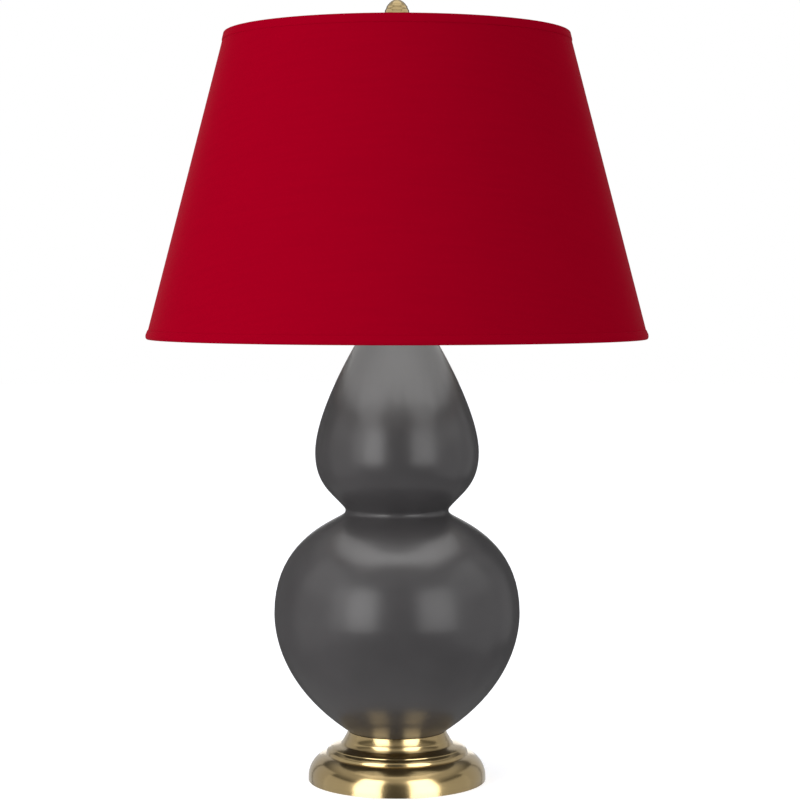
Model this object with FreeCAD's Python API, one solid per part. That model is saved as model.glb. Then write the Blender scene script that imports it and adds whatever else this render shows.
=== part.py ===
"""Double gourd table lamp: a hollow ceramic body on a spun brass base, with a
detachable harp, a turn-knob socket, a bulb and a tapered drum shade on a spider.

Millimetres, +Z up. The origin is the centre of the underside, where the felt
meets the table. The front of the lamp is -Y; the cord would leave the base at +Y.
"""
import FreeCAD
import Part

import math
import os

from FreeCAD import Vector

# ---------------------------------------------------------------- driving sizes
# Base: spun brass over a cast iron weight
base_radius = 90.0            # outside of the bottom lip
base_wall = 1.2               # brass sheet
base_clearance = 0.4          # lip to the table; the felt stands lower
lip_height = 3.9              # straight edge below the rounded flange
flange_height = 27.2          # where the rounded flange meets the middle step
step_radius = 71.6            # upright edge of the middle step
step_height = 31.8            # top of that edge
step_round = 2.0              # rounding of that edge
step_fillet = 0.6             # hollow at its foot
ledge_radius = 66.6           # fine line turned in the sloping shoulder
ledge_height = 33.4
ledge_drop = 0.5
cove_radius = 57.0            # where the shoulder turns up into the neck
cove_height = 37.4
shoulder_swell = 0.5          # roundness of the sloping shoulder
cove_hollow = 0.5
neck_hollow = 0.25
collar_radius = 53.5          # fine ring turned in the neck of the base
collar_height = 42.9
collar_drop = 0.4
rim_radius = 49.9             # rim of the dish that holds the gourd
rim_height = 50.6
rim_width = 1.3
dish_depth = 5.6              # rim down to the seat
felt_thickness = 2.0
felt_margin = 1.6             # felt edge to the inside of the lip
weight_margin = 8.8           # weight to the inside of the lip
weight_edge = 14.0            # thickness of the weight at its edge
weight_hub_radius = 17.0
weight_crown = 5.0            # rise of the weight from its edge to its hub
channel_width = 9.0           # groove for the cord under the weight
channel_depth = 11.0

# Gourd: slip-cast ceramic
wall = 6.0
foot_radius = 45.5
foot_rise = 3.9               # straight bevel from the foot to where the belly curve starts
foot_slope = 33.0             # degrees above level
foot_pull = 82.6              # how far each curve holds the direction it starts in
belly_radius = 124.35
belly_height = 170.9
belly_pull_below = 25.1
belly_pull_above = 75.7
waist_radius = 50.6           # corner of the two bulbs, before its rounding
waist_height = 274.5
waist_round = 4.6
waist_slope_below = 135.0
waist_slope_above = 50.2
waist_pull_below = 10.7
waist_pull_above = 19.5
bulb_radius = 82.8            # the upper, smaller bulb of the gourd
bulb_height = 333.5
bulb_pull_below = 32.5
bulb_pull_above = 36.7
shoulder_radius = 31.6        # where the upper bulb runs into the neck
shoulder_height = 459.9
shoulder_slope = 122.4
shoulder_pull = 35.6
neck_sweep = 40.0             # radius of the curve from shoulder to neck
neck_rise = 24.1              # shoulder to the top of the neck
foot_hole_radius = 8.0

# Threaded pipe and what is stacked on it
pipe_radius = 5.15
pipe_bore = 3.3
thread_play = 0.06
pipe_tail = 1.6               # pipe below the bottom nut
gasket_thickness = 1.0
nut_flats = 15.9
nut_height = 4.8
thin_nut_flats = 14.3
thin_nut_height = 3.3
washer_radius = 9.4
washer_thickness = 1.0
nut_pocket_radius = 12.5
nut_pocket_depth = 8.6
cap_play = 0.8                # vase cap skirt to the ceramic neck
cap_skirt = 2.4               # how far the skirt hangs over the neck
cap_wall = 0.9
cap_rise = 7.0
cap_step = 5.0                # width of the rounded edge of the cap
cap_swell = 0.9
spacer_radius = 11.0          # tube that lifts the harp above the vase cap
spacer_wall = 1.2
spacer_collar = 0.8           # flare at the foot of the tube
spacer_length = 18.4
ring_radius = 13.5
ring_thickness = 1.5

# Harp
saddle_width = 12.7
saddle_thickness = 1.6
saddle_bend = 6.6
harp_half_spread = 30.0       # centre of each sleeve
tab_half_width = 2.2
tab_length = 9.7
sleeve_radius = 4.6
sleeve_wall = 0.9
sleeve_length = 16.0
sleeve_bead = 0.5
sleeve_travel = 11.0
sleeve_gap = 0.2
harp_height = 228.6           # saddle to the seat of the shade
harp_wire_radius = 1.8
harp_half_width = 57.0
harp_splay = 28.0             # degrees out of upright
harp_lower_bend = 40.0
harp_side_bend = 90.0
harp_top_bend = 45.0
eye_length = 22.0             # flattened top of the wire, pierced for the stud
eye_width = 10.0
eye_thickness = 2.6
wire_gap = 0.1
stud_radius = 3.175
stud_length = 10.5            # stud above the spider hub
stud_pivot_radius = 2.1
stud_flange_radius = 7.5
stud_flange_thickness = 1.8
stud_rivet_radius = 3.6
stud_rivet_height = 1.5
pivot_play = 0.05
stud_end_play = 0.15

# Socket
socket_hub_radius = 8.2
socket_hub_height = 6.7
socket_cap_radius = 17.6
socket_cap_height = 22.0
socket_wall = 0.8
shell_height = 60.5           # underside of the socket cap to the top of the shell
shell_wall = 0.6
shell_play = 0.2
shell_bead = 0.8
liner_wall = 0.8
liner_play = 0.1
interior_radius = 14.5
interior_foot_radius = 9.0
interior_top = 35.5           # above the underside of the socket cap
wire_well_radius = 6.5
wire_well_depth = 5.0
terminal_flat = 11.5
terminal_head_radius = 3.2
terminal_head_height = 1.8
terminal_shank_radius = 1.6
terminal_shank_length = 5.0
screw_shell_radius = 13.95
screw_shell_wall = 0.6
screw_shell_depth = 23.0
contact_radius = 5.0
contact_height = 2.2
set_screw_radius = 1.5
switch_height = 23.5          # switch axis above the underside of the socket cap
switch_shaft_radius = 1.9
switch_shaft_start = 3.0
switch_slot_width = 9.0
switch_slot_rise = 6.0
knob_radius = 5.2
knob_length = 10.0
knob_gap = 2.4                # knob to the socket shell
knob_flutes = 10
knob_flute_radius = 0.9
knob_grip = 2.0               # shaft inside the knob

# Bulb
bulb_cap_play = 0.35          # bulb cap to the screw shell
bulb_rest_gap = 0.3
bulb_tip_radius = 4.5
bulb_tip_height = 1.5
bulb_insulator_radius = 11.0
bulb_insulator_height = 3.5
bulb_cap_height = 21.5
bulb_cap_wall = 0.8
bulb_cap_taper = 2.0
bulb_glass_radius = 30.0
bulb_glass_wall = 0.9
bulb_glass_length = 82.5      # glass above the bulb cap
bulb_neck_depth = 4.0         # glass inside the bulb cap
bulb_neck_play = 0.05
bulb_neck_sweep = 34.0        # hollow curve between the neck and the round of the bulb

# Shade
shade_bottom_radius = 252.6
shade_top_radius = 173.1
shade_height = 304.9
shade_recess = 13.1           # hub seat below the top edge
fabric_thickness = 0.6
lining_thickness = 0.6
trim_thickness = 0.8
trim_height = 9.0
frame_wire_radius = 1.6
frame_wire_inset = 3.0
frame_wire_gap = 0.05
hub_radius = 12.0
hub_play = 0.225
arm_count = 3
arm_first_angle = 90.0
arm_kick = 38.0               # degrees, where each arm turns up to the ring
arm_bend = 8.0

# Finial: a turned beehive on a waisted foot
finial_height = 43.6
finial_radius = 13.2
finial_hive_height = 34.0
finial_tiers = 6
finial_tier_pitch = 4.0
finial_first_tier = 5.6       # top of the finial down to the first groove
finial_tier_bulge = 0.55
finial_neck_radius = 5.6
finial_foot_radius = 8.6
finial_foot_edge = 2.0
finial_play = 0.08
finial_gap = 0.1
finial_bore_spare = 2.5

# Cord bushing in the back of the base (the cord itself is not part of this lamp)
bushing_height = 8.6
bushing_radius = 4.9
bushing_bore = 3.3
bushing_flange_radius = 6.6
bushing_flange_thickness = 1.8
bushing_length = 6.0
bushing_play = 0.1

# ---------------------------------------------------------------- stacked heights
seat_z = rim_height - dish_depth
gourd_z = seat_z + gasket_thickness
neck_height = shoulder_height + neck_rise
neck_gasket_z = neck_height
vase_cap_z = neck_gasket_z + gasket_thickness
spacer_z = vase_cap_z + cap_rise
ring_z = spacer_z + spacer_length
saddle_z = ring_z + ring_thickness
saddle_nut_z = saddle_z + saddle_thickness
socket_z = saddle_nut_z + thin_nut_height + wire_gap
switch_z = socket_z + switch_height
interior_z = socket_z + interior_top
sleeve_z = saddle_z + saddle_bend + sleeve_gap
shade_seat_z = saddle_z + harp_height
eye_z = shade_seat_z - stud_flange_thickness - stud_end_play - eye_thickness
hub_thickness = 2 * frame_wire_radius
hub_top_z = shade_seat_z + hub_thickness
shade_top_z = shade_seat_z + shade_recess
shade_bottom_z = shade_top_z - shade_height
finial_z = hub_top_z + finial_gap
weight_z = felt_thickness

ORIGIN = Vector(0, 0, 0)
UP = Vector(0, 0, 1)
LEFT = Vector(-1, 0, 0)
FRONT = Vector(0, -1, 0)


# ---------------------------------------------------------------- drawing helpers
def at(radius, height):
    """A point of a turned piece's half section."""
    return Vector(radius, 0, height)


def heading(degrees):
    """Unit vector in the half section, measured from level and outward."""
    turn = math.radians(degrees)
    return Vector(math.cos(turn), 0, math.sin(turn))


def inward(degrees):
    """Unit vector square to a heading, on the side of the axis."""
    return heading(degrees + 90)


def line(start, end):
    return Part.LineSegment(start, end).toShape()


def bow(start, end, rise):
    """Arc from start to end that rises to the right of the chord by a set height."""
    chord = end - start
    side = Vector(chord.z, 0, -chord.x).normalize()
    middle = (start + end) * 0.5 + side * rise
    return Part.Arc(start, middle, end).toShape()


def dome(edge, top):
    """Arc of a ball centred on the axis, from an edge point to a top point on the axis."""
    rise = top.z - edge.z
    radius = (edge.x ** 2 + rise ** 2) / (2 * abs(rise))
    centre = at(0, top.z - math.copysign(radius, rise))
    middle = centre + (edge + top - centre * 2).normalize() * radius
    return Part.Arc(edge, middle, top).toShape()


def pull(start, start_heading, start_pull, end, end_heading, end_pull):
    """Smooth curve that leaves and arrives along the given headings."""
    curve = Part.BezierCurve()
    curve.setPoles([start, start + heading(start_heading) * start_pull,
                    end - heading(end_heading) * end_pull, end])
    return curve.toShape()


def chain(points):
    """Straight edges through the points in turn."""
    return [line(start, end) for start, end in zip(points, points[1:])]


def turned(edges):
    """Solid of revolution about the lamp's axis from a closed half section."""
    return Part.Face(Part.Wire(edges)).revolve(ORIGIN, UP, 360)


def turned_points(points):
    return turned(chain(points + points[:1]))


def ring(outer, inner, bottom, height):
    """Plain round ring or tube."""
    body = Part.makeCylinder(outer, height, at(0, bottom))
    return body.cut(Part.makeCylinder(inner, height, at(0, bottom)))


def hex_nut(flats, bottom, height):
    corner = flats / math.sqrt(3)
    corners = [Vector(corner * math.cos(math.radians(a)), corner * math.sin(math.radians(a)), bottom)
               for a in range(0, 420, 60)]
    body = Part.Face(Part.makePolygon(corners)).extrude(UP * height)
    return body.cut(Part.makeCylinder(pipe_radius + thread_play, height, at(0, bottom)))


def around_axis(shape, degrees):
    turned_copy = shape.copy()
    turned_copy.rotate(ORIGIN, UP, degrees)
    return turned_copy


def swept(path_edges, radius, normal):
    """Round rod along a path of lines and tangent arcs."""
    path = Part.Wire(path_edges)
    start = path_edges[0].valueAt(path_edges[0].FirstParameter)
    section = Part.Wire(Part.makeCircle(radius, start, normal))
    return path.makePipeShell([section], True, False)


# ---------------------------------------------------------------- base
def flange_arc(inset):
    """Rounded flange: upright at the lip, ending under the middle step."""
    lip = at(base_radius - inset, lip_height)
    across = base_radius - (step_radius + step_fillet)
    rise = flange_height - lip_height
    radius = (across ** 2 + rise ** 2) / (2 * across) - inset
    centre = at(lip.x - radius, lip_height)
    top_angle = math.acos((step_radius + step_fillet - inset - centre.x) / radius)
    top = centre + heading(math.degrees(top_angle)) * radius
    middle = centre + heading(math.degrees(top_angle) / 2) * radius
    return Part.Arc(lip, middle, top).toShape(), lip, top


def base_section():
    outer_arc, lip, flange_top = flange_arc(0)
    inner_arc, inner_lip, inner_flange_top = flange_arc(base_wall)
    step_foot = at(step_radius, flange_height + step_fillet)
    step_edge = at(step_radius, step_height - step_round)
    step_top = at(step_radius - step_round, step_height)
    ledge_low = at(ledge_radius + ledge_drop, ledge_height)
    ledge = at(ledge_radius, ledge_height + ledge_drop)
    cove = at(cove_radius, cove_height)
    collar = at(collar_radius, collar_height)
    collar_top = at(collar_radius - collar_drop, collar_height + collar_drop)
    rim_outer = at(rim_radius, rim_height - rim_width / 2)
    rim_inner = at(rim_radius - rim_width, rim_height - rim_width / 2)
    dish_radius = rim_inner.x
    bore = pipe_radius + thread_play
    under = seat_z - base_wall
    skin = heading(225) * base_wall
    outside = [
        line(at(base_radius, base_clearance), lip),
        outer_arc,
        bow(flange_top, step_foot, -step_fillet * 0.3),
        line(step_foot, step_edge),
        bow(step_edge, step_top, step_round * 0.29),
        line(step_top, ledge_low),
        line(ledge_low, ledge),
        bow(ledge, cove, shoulder_swell),
        bow(cove, collar, -cove_hollow),
        line(collar, collar_top),
        bow(collar_top, rim_outer, -neck_hollow),
    ] + chain([rim_outer, at(rim_radius - rim_width * 0.35, rim_height),
               at(rim_radius - rim_width * 0.8, rim_height - rim_width * 0.3), rim_inner])
    inside = [
        line(rim_inner, at(dish_radius, seat_z)),
        line(at(dish_radius, seat_z), at(bore, seat_z)),
        line(at(bore, seat_z), at(bore, under)),
    ]
    inner_collar = at(collar_radius - 1.5 * base_wall, under)
    inside += [line(at(bore, under), inner_collar), bow(inner_collar, cove + skin, cove_hollow)]
    inside += chain([cove + skin, ledge + skin, step_edge + skin,
                     at(step_radius - base_wall, flange_height), inner_flange_top])
    inside += [inner_arc] + chain([inner_lip, at(inner_lip.x, base_clearance),
                                   at(base_radius, base_clearance)])
    return outside + inside


def bushing_axis_cylinder(radius, start, length):
    return Part.makeCylinder(radius, length, Vector(0, start, bushing_height), Vector(0, 1, 0))


def base_shell():
    return turned(base_section()).cut(bushing_axis_cylinder(bushing_radius + bushing_play,
                                                            step_radius, base_radius))


def base_solid():
    """The outside of the base with nothing hollow, to shape what lies against it."""
    lip_arc, lip, top = flange_arc(0)
    return turned([line(at(0, 0), at(base_radius, 0)), line(at(base_radius, 0), lip), lip_arc]
                  + chain([top, at(0, top.z), at(0, 0)]))


def cord_bushing():
    face = base_radius + bushing_flange_thickness
    flange = bushing_axis_cylinder(bushing_flange_radius, step_radius, face - step_radius)
    flange = flange.cut(base_solid())
    flange = flange.makeFillet(0.6, [edge for edge in flange.Edges
                                     if edge.BoundBox.YMin > face - 0.01])
    body = bushing_axis_cylinder(bushing_radius, base_radius - base_wall - bushing_length,
                                 base_wall + bushing_length)
    bore = bushing_axis_cylinder(bushing_bore, step_radius, base_radius)
    return flange.fuse(body).removeSplitter().cut(bore)


def base_weight():
    outer = base_radius - base_wall - weight_margin
    edge_top = weight_z + weight_edge
    hub_foot = edge_top + weight_crown
    hub_top = seat_z - base_wall
    bore = pipe_radius + thread_play
    pocket_top = weight_z + nut_pocket_depth
    section = chain([at(bore, pocket_top), at(nut_pocket_radius, pocket_top),
                     at(nut_pocket_radius, weight_z), at(outer, weight_z), at(outer, edge_top - 3)])
    section += [bow(at(outer, edge_top - 3), at(outer - 3, edge_top), 0.9)]
    section += chain([at(outer - 3, edge_top), at(weight_hub_radius + 8, hub_foot)])
    section += [bow(at(weight_hub_radius + 8, hub_foot), at(weight_hub_radius, hub_foot + 6), -2)]
    section += chain([at(weight_hub_radius, hub_foot + 6), at(weight_hub_radius, hub_top),
                      at(bore, hub_top), at(bore, pocket_top)])
    channel = Part.makeBox(channel_width, outer, channel_depth,
                           Vector(-channel_width / 2, pipe_radius, weight_z))
    clear_of_pipe = Part.makeCylinder(nut_pocket_radius - 1, channel_depth, at(0, weight_z))
    return turned(section).cut(channel.cut(clear_of_pipe))


def felt_pad():
    return Part.makeCylinder(base_radius - base_wall - felt_margin, felt_thickness)


# ---------------------------------------------------------------- gourd
def waist_points(inset):
    """The two ends of the rounded waist and its middle, on a line set in by inset."""
    corner = at(waist_radius, waist_height)
    half_turn = (waist_slope_below - waist_slope_above) / 2
    run = waist_round * math.tan(math.radians(half_turn))
    low = corner - heading(waist_slope_below) * run
    high = corner + heading(waist_slope_above) * run
    centre = low - inward(waist_slope_below) * waist_round
    middle = centre + inward((waist_slope_below + waist_slope_above) / 2) * (waist_round + inset)
    return (low + inward(waist_slope_below) * inset, middle,
            high + inward(waist_slope_above) * inset)


def gourd_outline(inset):
    """Foot to neck, moved in square to the wall; the curves shorten with their chords."""
    def curve(start, start_slope, start_pull, end, end_slope, end_pull):
        moved_start = start + inward(start_slope) * inset
        moved_end = end + inward(end_slope) * inset
        share = (moved_end - moved_start).Length / (end - start).Length
        return pull(moved_start, start_slope, start_pull * share, moved_end, end_slope, end_pull * share)

    low, middle, high = waist_points(0)
    low_in, middle_in, high_in = waist_points(inset)
    foot = at(foot_radius, gourd_z + foot_rise * math.sin(math.radians(foot_slope)))
    belly = at(belly_radius, belly_height)
    upper = at(bulb_radius, bulb_height)
    shoulder = at(shoulder_radius, shoulder_height)
    sweep = neck_sweep + inset
    centre = shoulder - inward(shoulder_slope) * neck_sweep
    neck_start = shoulder + inward(shoulder_slope) * inset
    neck_middle = centre + inward((shoulder_slope + 90) / 2) * sweep
    neck_end = centre + LEFT * sweep
    return [
        curve(foot, foot_slope, foot_pull, belly, 90, belly_pull_below),
        curve(belly, 90, belly_pull_above, low, waist_slope_below, waist_pull_below),
        Part.Arc(low_in, middle_in, high_in).toShape(),
        curve(high, waist_slope_above, waist_pull_above, upper, 90, bulb_pull_below),
        curve(upper, 90, bulb_pull_above, shoulder, shoulder_slope, shoulder_pull),
        Part.Arc(neck_start, neck_middle, neck_end).toShape(),
    ], foot + inward(foot_slope) * inset, neck_end


def gourd_neck_radius():
    return gourd_outline(0)[2].x


def gourd_body():
    outside, foot, neck = gourd_outline(0)
    cavity, floor_edge, cavity_neck = gourd_outline(wall)
    standing = foot - heading(foot_slope) * foot_rise
    floor = at(foot_hole_radius, floor_edge.z)
    section = [line(standing, foot)] + outside
    section += chain([neck, at(neck.x, neck_height), at(cavity_neck.x, neck_height), cavity_neck])
    section += cavity[::-1]
    section += chain([floor_edge, floor, at(foot_hole_radius, standing.z), standing])
    return turned(section)


def seat_gasket():
    standing_radius = foot_radius - foot_rise * math.cos(math.radians(foot_slope))
    return ring(standing_radius, foot_hole_radius, seat_z, gasket_thickness)


def neck_gasket():
    outer = gourd_neck_radius() - 0.6
    return ring(outer, outer - wall + 1.2, neck_gasket_z, gasket_thickness)


# ---------------------------------------------------------------- pipe stack
def lamp_pipe():
    bottom = weight_z + nut_pocket_depth - washer_thickness - nut_height - pipe_tail
    top = socket_z + socket_hub_height - wire_gap
    return ring(pipe_radius, pipe_bore, bottom, top - bottom)


def lock_washer():
    bottom = weight_z + nut_pocket_depth - washer_thickness
    return ring(washer_radius, pipe_radius + thread_play, bottom, washer_thickness)


def pipe_nut():
    return hex_nut(nut_flats, weight_z + nut_pocket_depth - washer_thickness - nut_height, nut_height)


def vase_cap():
    inner = gourd_neck_radius() + cap_play
    outer = inner + cap_wall
    bore = pipe_radius + thread_play
    top = vase_cap_z + cap_rise
    flat = spacer_radius + 1.5
    skirt = vase_cap_z - cap_skirt - gasket_thickness
    shoulder_z = vase_cap_z + cap_wall
    step = at(outer - cap_step, shoulder_z + cap_rise * 0.4)
    section = chain([at(bore, vase_cap_z), at(inner, vase_cap_z), at(inner, skirt), at(outer, skirt),
                     at(outer, shoulder_z)])
    section += [bow(at(outer, shoulder_z), step, cap_swell), bow(step, at(flat, top), -cap_swell / 2)]
    section += chain([at(flat, top), at(bore, top), at(bore, vase_cap_z)])
    return turned(section)


def neck_spacer():
    top = spacer_z + spacer_length
    inner = spacer_radius - spacer_wall
    collar = spacer_radius + spacer_collar
    return turned_points([
        at(collar, spacer_z), at(collar, spacer_z + spacer_collar), at(spacer_radius, spacer_z + 2 * spacer_collar),
        at(spacer_radius, top), at(inner, top), at(inner, spacer_z)])


def check_ring():
    bore = pipe_radius + thread_play
    edge = ring_thickness * 0.3
    return turned_points([at(ring_radius - edge, ring_z), at(ring_radius, ring_z + edge),
                          at(ring_radius, saddle_z), at(bore, saddle_z), at(bore, ring_z)])


def saddle_nut():
    return hex_nut(thin_nut_flats, saddle_nut_z, thin_nut_height)


# ---------------------------------------------------------------- harp
def tab_face():
    """Outer face of the saddle's upright tab; the wire stands against it."""
    return harp_half_spread - 0.8


def wire_foot_x():
    return tab_face() + wire_gap + harp_wire_radius


def harp_saddle():
    face = tab_face()
    bend_z = saddle_z + saddle_bend
    inner_bend = saddle_bend - saddle_thickness
    tab_top = bend_z + tab_length
    half = [
        line(at(0, saddle_z), at(face - saddle_bend, saddle_z)),
        bow(at(face - saddle_bend, saddle_z), at(face, bend_z), saddle_bend * (1 - math.sqrt(0.5))),
        line(at(face, bend_z), at(face, tab_top)),
        line(at(face, tab_top), at(face - saddle_thickness, tab_top)),
        line(at(face - saddle_thickness, tab_top), at(face - saddle_thickness, bend_z)),
        bow(at(face - saddle_thickness, bend_z), at(face - saddle_bend, saddle_z + saddle_thickness),
            -inner_bend * (1 - math.sqrt(0.5))),
        line(at(face - saddle_bend, saddle_z + saddle_thickness), at(0, saddle_z + saddle_thickness)),
        line(at(0, saddle_z + saddle_thickness), at(0, saddle_z)),
    ]
    strip = Part.Face(Part.Wire(half)).extrude(Vector(0, saddle_width, 0))
    strip.translate(Vector(0, -saddle_width / 2, 0))
    for side in (-1, 1):
        shoulder = Part.makeBox(saddle_thickness + 2, saddle_width, tab_length + 1,
                                Vector(face - saddle_thickness - 1, 0, bend_z))
        shoulder.translate(Vector(0, tab_half_width if side > 0 else -tab_half_width - saddle_width, 0))
        strip = strip.cut(shoulder)
    centre = Part.makeCylinder(ring_radius, saddle_thickness, at(0, saddle_z))
    body = strip.fuse([around_axis(strip, 180), centre]).removeSplitter()
    return body.cut(Part.makeCylinder(pipe_radius + thread_play, saddle_thickness, at(0, saddle_z)))


def harp_side():
    """Right half of the wire's centre line, from the foot of the leg to the eye."""
    foot = at(wire_foot_x(), sleeve_z + sleeve_gap)
    straight_top = sleeve_z + sleeve_length + sleeve_travel + 2 * sleeve_bead
    splay = math.radians(harp_splay)
    upright = at(foot.x, straight_top)
    lower_end = upright + at(harp_lower_bend * (1 - math.cos(splay)), harp_lower_bend * math.sin(splay))
    side_run = harp_side_bend * (1 - math.cos(splay))
    side_start_x = harp_half_width - side_run
    slope_end = at(side_start_x, lower_end.z + (side_start_x - lower_end.x) / math.tan(splay))
    side_end = at(harp_half_width, slope_end.z + harp_side_bend * math.sin(splay))
    top_z = eye_z + eye_thickness / 2
    top_start = at(harp_half_width, top_z - harp_top_bend)
    top_end = at(harp_half_width - harp_top_bend, top_z)
    half_splay = splay / 2
    sag_lower = harp_lower_bend * (1 - math.cos(half_splay))
    sag_side = harp_side_bend * (1 - math.cos(half_splay))
    sag_top = harp_top_bend * (1 - math.sqrt(0.5))
    return [
        line(foot, upright),
        bow(upright, lower_end, -sag_lower),
        line(lower_end, slope_end),
        bow(slope_end, side_end, sag_side),
        line(side_end, top_start),
        bow(top_start, top_end, sag_top),
        line(top_end, at(eye_length / 2 - 1, top_z)),
    ]


def harp():
    leg = swept(harp_side(), harp_wire_radius, UP)
    half_straight = eye_length / 2 - eye_width / 2
    eye = Part.makeBox(2 * half_straight, eye_width, eye_thickness,
                       Vector(-half_straight, -eye_width / 2, eye_z))
    ends = [Part.makeCylinder(eye_width / 2, eye_thickness, Vector(x, 0, eye_z))
            for x in (-half_straight, half_straight)]
    body = eye.fuse(ends + [leg, around_axis(leg, 180)]).removeSplitter()
    return body.cut(Part.makeCylinder(stud_pivot_radius + pivot_play, eye_thickness, at(0, eye_z)))


def harp_sleeve(side):
    top = sleeve_z + sleeve_length
    inner = sleeve_radius - sleeve_wall
    rolled = sleeve_radius + sleeve_bead
    sleeve = turned_points([
        at(inner, sleeve_z), at(sleeve_radius, sleeve_z), at(sleeve_radius, top - 3 * sleeve_bead),
        at(rolled, top - 2 * sleeve_bead), at(rolled, top - sleeve_bead), at(sleeve_radius, top),
        at(inner, top)])
    sleeve.translate(Vector(side * harp_half_spread, 0, 0))
    return sleeve


def harp_stud():
    pivot_z = eye_z - stud_end_play
    flange_z = eye_z + eye_thickness + stud_end_play
    top = hub_top_z + stud_length
    return turned_points([
        at(0, pivot_z - stud_rivet_height), at(stud_rivet_radius - 0.8, pivot_z - stud_rivet_height),
        at(stud_rivet_radius, pivot_z - 0.6), at(stud_rivet_radius, pivot_z),
        at(stud_pivot_radius, pivot_z), at(stud_pivot_radius, flange_z),
        at(stud_flange_radius, flange_z), at(stud_flange_radius, shade_seat_z),
        at(stud_radius, shade_seat_z), at(stud_radius, top - 0.8), at(stud_radius - 0.8, top),
        at(0, top)])


# ---------------------------------------------------------------- socket
def switch_slot(height):
    """Notch for the switch shaft, open at the bottom of the sleeve that it is cut from."""
    return Part.makeBox(switch_slot_width, 2 * socket_cap_radius, height,
                        Vector(-switch_slot_width / 2, -2 * socket_cap_radius, socket_z)).fuse(
        Part.makeCylinder(switch_slot_width / 2, 2 * socket_cap_radius,
                          Vector(0, 0, socket_z + height), FRONT))


def socket_floor_z():
    return socket_z + socket_hub_height + socket_wall


def socket_cap():
    bore = pipe_radius + thread_play
    hub_top = socket_z + socket_hub_height
    floor = socket_floor_z()
    bowl_top = socket_z + socket_cap_height * 0.7
    top = socket_z + socket_cap_height
    inner = socket_cap_radius - socket_wall
    start = socket_hub_radius + 1.2
    depth = 2.6
    section = chain([at(bore, socket_z), at(socket_hub_radius, socket_z), at(socket_hub_radius, hub_top),
                     at(start, hub_top)])
    section += [bow(at(start, hub_top), at(socket_cap_radius, bowl_top), depth)]
    section += chain([at(socket_cap_radius, bowl_top), at(socket_cap_radius, top), at(inner, top),
                      at(inner, bowl_top)])
    section += [bow(at(inner, bowl_top), at(start, floor), -depth)]
    section += chain([at(start, floor), at(bore, floor), at(bore, socket_z)])
    hole = Part.makeCylinder(set_screw_radius + thread_play, 2 * socket_hub_radius,
                             at(0, socket_z + socket_hub_height / 2), Vector(1, 0, 0))
    notch = switch_slot(switch_height).common(Part.makeCylinder(
        2 * socket_cap_radius, socket_cap_height, at(0, switch_z - switch_slot_width / 2)))
    return turned(section).cut(hole.common(Part.makeCylinder(
        2 * socket_hub_radius, socket_hub_height, at(0, socket_z)))).cut(notch)


def socket_set_screw():
    start = pipe_radius + thread_play
    length = socket_hub_radius + 2.2 - start
    body = Part.makeCylinder(set_screw_radius, length, at(start, socket_z + socket_hub_height / 2),
                             Vector(1, 0, 0))
    slot = Part.makeBox(1.0, 0.6, 4 * set_screw_radius,
                        Vector(start + length - 1.0, -0.3, socket_z + socket_hub_height / 2
                               - 2 * set_screw_radius))
    return body.cut(slot)


def shell_radius():
    return socket_cap_radius - socket_wall - shell_play


def socket_shell():
    outer = shell_radius()
    inner = outer - shell_wall
    bottom = socket_z + socket_cap_height * 0.7 + shell_play
    top = socket_z + shell_height
    rolled = outer + shell_bead
    return turned_points([
        at(inner, bottom), at(outer, bottom), at(outer, top - 3 * shell_bead),
        at(rolled, top - 2 * shell_bead), at(rolled, top - shell_bead), at(outer, top),
        at(inner, top)]).cut(switch_slot(switch_height))


def socket_liner():
    outer = shell_radius() - shell_wall - liner_play
    bottom = socket_z + socket_cap_height * 0.7 + shell_play
    top = socket_z + shell_height - 1.5
    return ring(outer, outer - liner_wall, bottom, top - bottom).cut(switch_slot(switch_height))


def socket_interior():
    foot = socket_floor_z() + wire_gap
    waist_z = foot + 9
    body = turned_points([
        at(wire_well_radius, foot), at(interior_foot_radius, foot), at(interior_radius, waist_z),
        at(interior_radius, interior_z), at(0, interior_z), at(0, foot + wire_well_depth),
        at(wire_well_radius, foot + wire_well_depth)])
    for side in (-1, 1):
        flat = Part.makeBox(2 * interior_radius, 2 * interior_radius, 10,
                            Vector(-interior_radius, -interior_radius, switch_z - 5))
        flat.translate(Vector(side * (terminal_flat + interior_radius), 0, 0))
        screw_hole = Part.makeCylinder(terminal_shank_radius + thread_play,
                                       terminal_shank_length + thread_play,
                                       Vector(side * terminal_flat, 0, switch_z), Vector(-side, 0, 0))
        body = body.cut(flat).cut(screw_hole)
    shaft_hole = Part.makeCylinder(switch_shaft_radius + pivot_play, interior_radius,
                                   Vector(0, -switch_shaft_start + 0.5, switch_z), FRONT)
    return body.cut(shaft_hole)


def terminal_screws():
    screws = []
    for side in (-1, 1):
        out = Vector(side, 0, 0)
        start = Vector(side * (terminal_flat - terminal_shank_length), 0, switch_z)
        shank = Part.makeCylinder(terminal_shank_radius, terminal_shank_length, start, out)
        head = Part.makeCylinder(terminal_head_radius, terminal_head_height,
                                 Vector(side * terminal_flat, 0, switch_z), out)
        screws.append(shank.fuse(head))
    return Part.makeCompound(screws)


def screw_shell():
    inner = screw_shell_radius - screw_shell_wall
    rim = contact_radius + 3
    top = interior_z + screw_shell_depth
    return turned_points([at(rim, interior_z), at(screw_shell_radius, interior_z),
                          at(screw_shell_radius, top), at(inner, top),
                          at(inner, interior_z + screw_shell_wall), at(rim, interior_z + screw_shell_wall)])


def centre_contact():
    base = contact_height * 0.4
    section = chain([at(0, interior_z), at(contact_radius, interior_z),
                     at(contact_radius, interior_z + base)])
    section += [dome(at(contact_radius, interior_z + base), at(0, interior_z + contact_height))]
    section += [line(at(0, interior_z + contact_height), at(0, interior_z))]
    return turned(section)


def knob_back():
    return shell_radius() + knob_gap


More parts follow.
